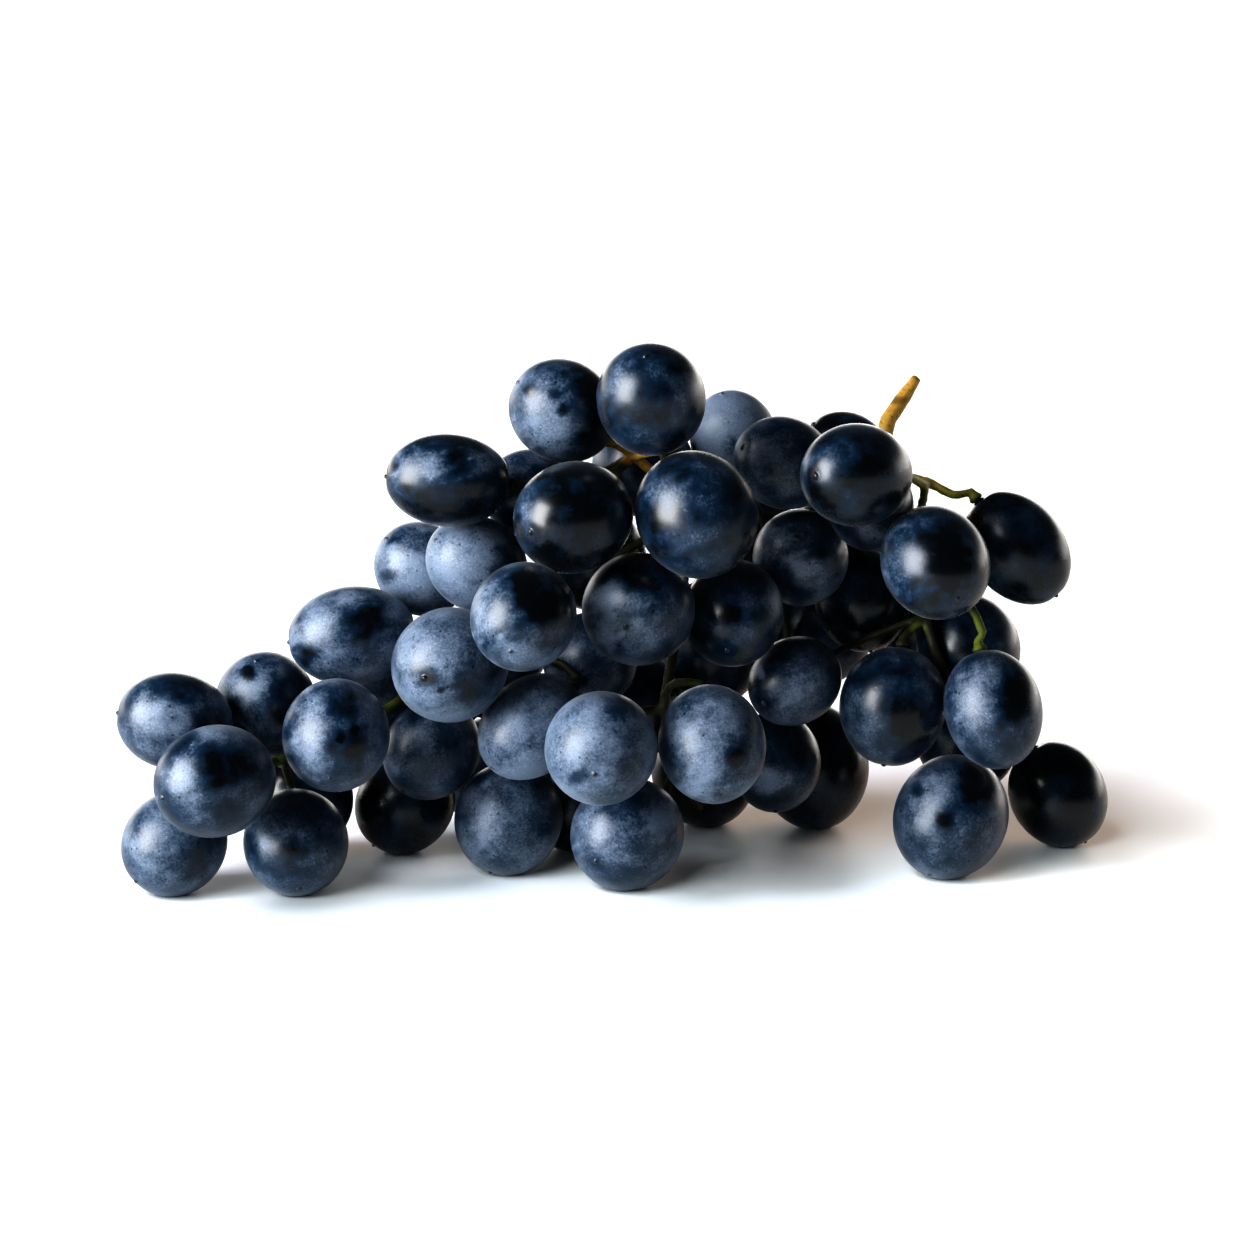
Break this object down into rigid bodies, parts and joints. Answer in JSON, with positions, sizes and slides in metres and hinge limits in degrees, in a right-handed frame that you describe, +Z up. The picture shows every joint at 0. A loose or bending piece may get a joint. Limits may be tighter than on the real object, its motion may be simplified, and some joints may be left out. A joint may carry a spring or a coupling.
{
  "type": "bunch of grapes",
  "caption": "Bunch of dark blue-black table grapes with a pale waxy bloom, lying as picked on its own branching stem with a short cut stalk.",
  "frame": {"origin": "middle of the bunch's footprint box, on the surface that it rests on", "axes": "+X runs along the bunch from its pointed end to the shoulder with the cut stalk, +Y away from the side that the picture shows, +Z up"},
  "size_m": [0.197, 0.1002, 0.1077],
  "materials": {
    "grape_back_1": "smooth blue-black skin under an uneven pale waxy bloom",
    "grape_back_10": "smooth blue-black skin under an uneven pale waxy bloom",
    "grape_back_11": "smooth blue-black skin under an uneven pale waxy bloom",
    "grape_back_12": "smooth blue-black skin under an uneven pale waxy bloom",
    "grape_back_13": "smooth blue-black skin under an uneven pale waxy bloom",
    "grape_back_14": "smooth blue-black skin under an uneven pale waxy bloom",
    "grape_back_15": "smooth blue-black skin under an uneven pale waxy bloom",
    "grape_back_2": "smooth blue-black skin under an uneven pale waxy bloom",
    "grape_back_3": "smooth blue-black skin under an uneven pale waxy bloom",
    "grape_back_4": "smooth blue-black skin under an uneven pale waxy bloom",
    "grape_back_5": "smooth blue-black skin under an uneven pale waxy bloom",
    "grape_back_6": "smooth blue-black skin under an uneven pale waxy bloom",
    "grape_back_7": "smooth blue-black skin under an uneven pale waxy bloom",
    "grape_back_8": "smooth blue-black skin under an uneven pale waxy bloom",
    "grape_back_9": "smooth blue-black skin under an uneven pale waxy bloom",
    "grape_crown_1": "smooth blue-black skin under an uneven pale waxy bloom",
    "grape_crown_2": "smooth blue-black skin under an uneven pale waxy bloom",
    "grape_crown_3": "smooth blue-black skin under an uneven pale waxy bloom",
    "grape_crown_4": "smooth blue-black skin under an uneven pale waxy bloom",
    "grape_crown_5": "smooth blue-black skin under an uneven pale waxy bloom",
    "grape_crown_6": "smooth blue-black skin under an uneven pale waxy bloom",
    "grape_crown_7": "smooth blue-black skin under an uneven pale waxy bloom",
    "grape_crown_8": "smooth blue-black skin under an uneven pale waxy bloom",
    "grape_crown_9": "smooth blue-black skin under an uneven pale waxy bloom",
    "grape_foot_1": "smooth blue-black skin under an uneven pale waxy bloom",
    "grape_foot_2": "smooth blue-black skin under an uneven pale waxy bloom",
    "grape_foot_3": "smooth blue-black skin under an uneven pale waxy bloom",
    "grape_foot_4": "smooth blue-black skin under an uneven pale waxy bloom",
    "grape_foot_5": "smooth blue-black skin under an uneven pale waxy bloom",
    "grape_foot_6": "smooth blue-black skin under an uneven pale waxy bloom",
    "grape_foot_7": "smooth blue-black skin under an uneven pale waxy bloom",
    "grape_heart_1": "smooth blue-black skin under an uneven pale waxy bloom",
    "grape_heart_2": "smooth blue-black skin under an uneven pale waxy bloom",
    "grape_heart_3": "smooth blue-black skin under an uneven pale waxy bloom",
    "grape_heart_4": "smooth blue-black skin under an uneven pale waxy bloom",
    "grape_heart_5": "smooth blue-black skin under an uneven pale waxy bloom",
    "grape_heart_6": "smooth blue-black skin under an uneven pale waxy bloom",
    "grape_left_1": "smooth blue-black skin under an uneven pale waxy bloom",
    "grape_left_2": "smooth blue-black skin under an uneven pale waxy bloom",
    "grape_left_3": "smooth blue-black skin under an uneven pale waxy bloom",
    "grape_left_4": "smooth blue-black skin under an uneven pale waxy bloom",
    "grape_left_5": "smooth blue-black skin under an uneven pale waxy bloom",
    "grape_left_6": "smooth blue-black skin under an uneven pale waxy bloom",
    "grape_right_1": "smooth blue-black skin under an uneven pale waxy bloom",
    "grape_right_2": "smooth blue-black skin under an uneven pale waxy bloom",
    "grape_right_3": "smooth blue-black skin under an uneven pale waxy bloom",
    "grape_right_4": "smooth blue-black skin under an uneven pale waxy bloom",
    "grape_right_5": "smooth blue-black skin under an uneven pale waxy bloom",
    "grape_shoulder_1": "smooth blue-black skin under an uneven pale waxy bloom",
    "grape_shoulder_2": "smooth blue-black skin under an uneven pale waxy bloom",
    "grape_shoulder_3": "smooth blue-black skin under an uneven pale waxy bloom",
    "grape_shoulder_4": "smooth blue-black skin under an uneven pale waxy bloom",
    "grape_shoulder_5": "smooth blue-black skin under an uneven pale waxy bloom",
    "grape_tip_1": "smooth blue-black skin under an uneven pale waxy bloom",
    "grape_tip_2": "smooth blue-black skin under an uneven pale waxy bloom",
    "grape_tip_3": "smooth blue-black skin under an uneven pale waxy bloom",
    "grape_tip_4": "smooth blue-black skin under an uneven pale waxy bloom",
    "grape_tip_5": "smooth blue-black skin under an uneven pale waxy bloom",
    "grape_tip_6": "smooth blue-black skin under an uneven pale waxy bloom",
    "stem": "woody tan main stem and green small stems, matte"
  },
  "bodies": {
    "root": {"grape_back_1": "grape_back_1", "grape_back_10": "grape_back_10", "grape_back_11": "grape_back_11", "grape_back_12": "grape_back_12", "grape_back_13": "grape_back_13", "grape_back_14": "grape_back_14", "grape_back_15": "grape_back_15", "grape_back_2": "grape_back_2", "grape_back_3": "grape_back_3", "grape_back_4": "grape_back_4", "grape_back_5": "grape_back_5", "grape_back_6": "grape_back_6", "grape_back_7": "grape_back_7", "grape_back_8": "grape_back_8", "grape_back_9": "grape_back_9", "grape_crown_1": "grape_crown_1", "grape_crown_2": "grape_crown_2", "grape_crown_3": "grape_crown_3", "grape_crown_4": "grape_crown_4", "grape_crown_5": "grape_crown_5", "grape_crown_6": "grape_crown_6", "grape_crown_7": "grape_crown_7", "grape_crown_8": "grape_crown_8", "grape_crown_9": "grape_crown_9", "grape_foot_1": "grape_foot_1", "grape_foot_2": "grape_foot_2", "grape_foot_3": "grape_foot_3", "grape_foot_4": "grape_foot_4", "grape_foot_5": "grape_foot_5", "grape_foot_6": "grape_foot_6", "grape_foot_7": "grape_foot_7", "grape_heart_1": "grape_heart_1", "grape_heart_2": "grape_heart_2", "grape_heart_3": "grape_heart_3", "grape_heart_4": "grape_heart_4", "grape_heart_5": "grape_heart_5", "grape_heart_6": "grape_heart_6", "grape_left_1": "grape_left_1", "grape_left_2": "grape_left_2", "grape_left_3": "grape_left_3", "grape_left_4": "grape_left_4", "grape_left_5": "grape_left_5", "grape_left_6": "grape_left_6", "grape_right_1": "grape_right_1", "grape_right_2": "grape_right_2", "grape_right_3": "grape_right_3", "grape_right_4": "grape_right_4", "grape_right_5": "grape_right_5", "grape_shoulder_1": "grape_shoulder_1", "grape_shoulder_2": "grape_shoulder_2", "grape_shoulder_3": "grape_shoulder_3", "grape_shoulder_4": "grape_shoulder_4", "grape_shoulder_5": "grape_shoulder_5", "grape_tip_1": "grape_tip_1", "grape_tip_2": "grape_tip_2", "grape_tip_3": "grape_tip_3", "grape_tip_4": "grape_tip_4", "grape_tip_5": "grape_tip_5", "grape_tip_6": "grape_tip_6", "stem": "stem"}
  },
  "joints": []
}
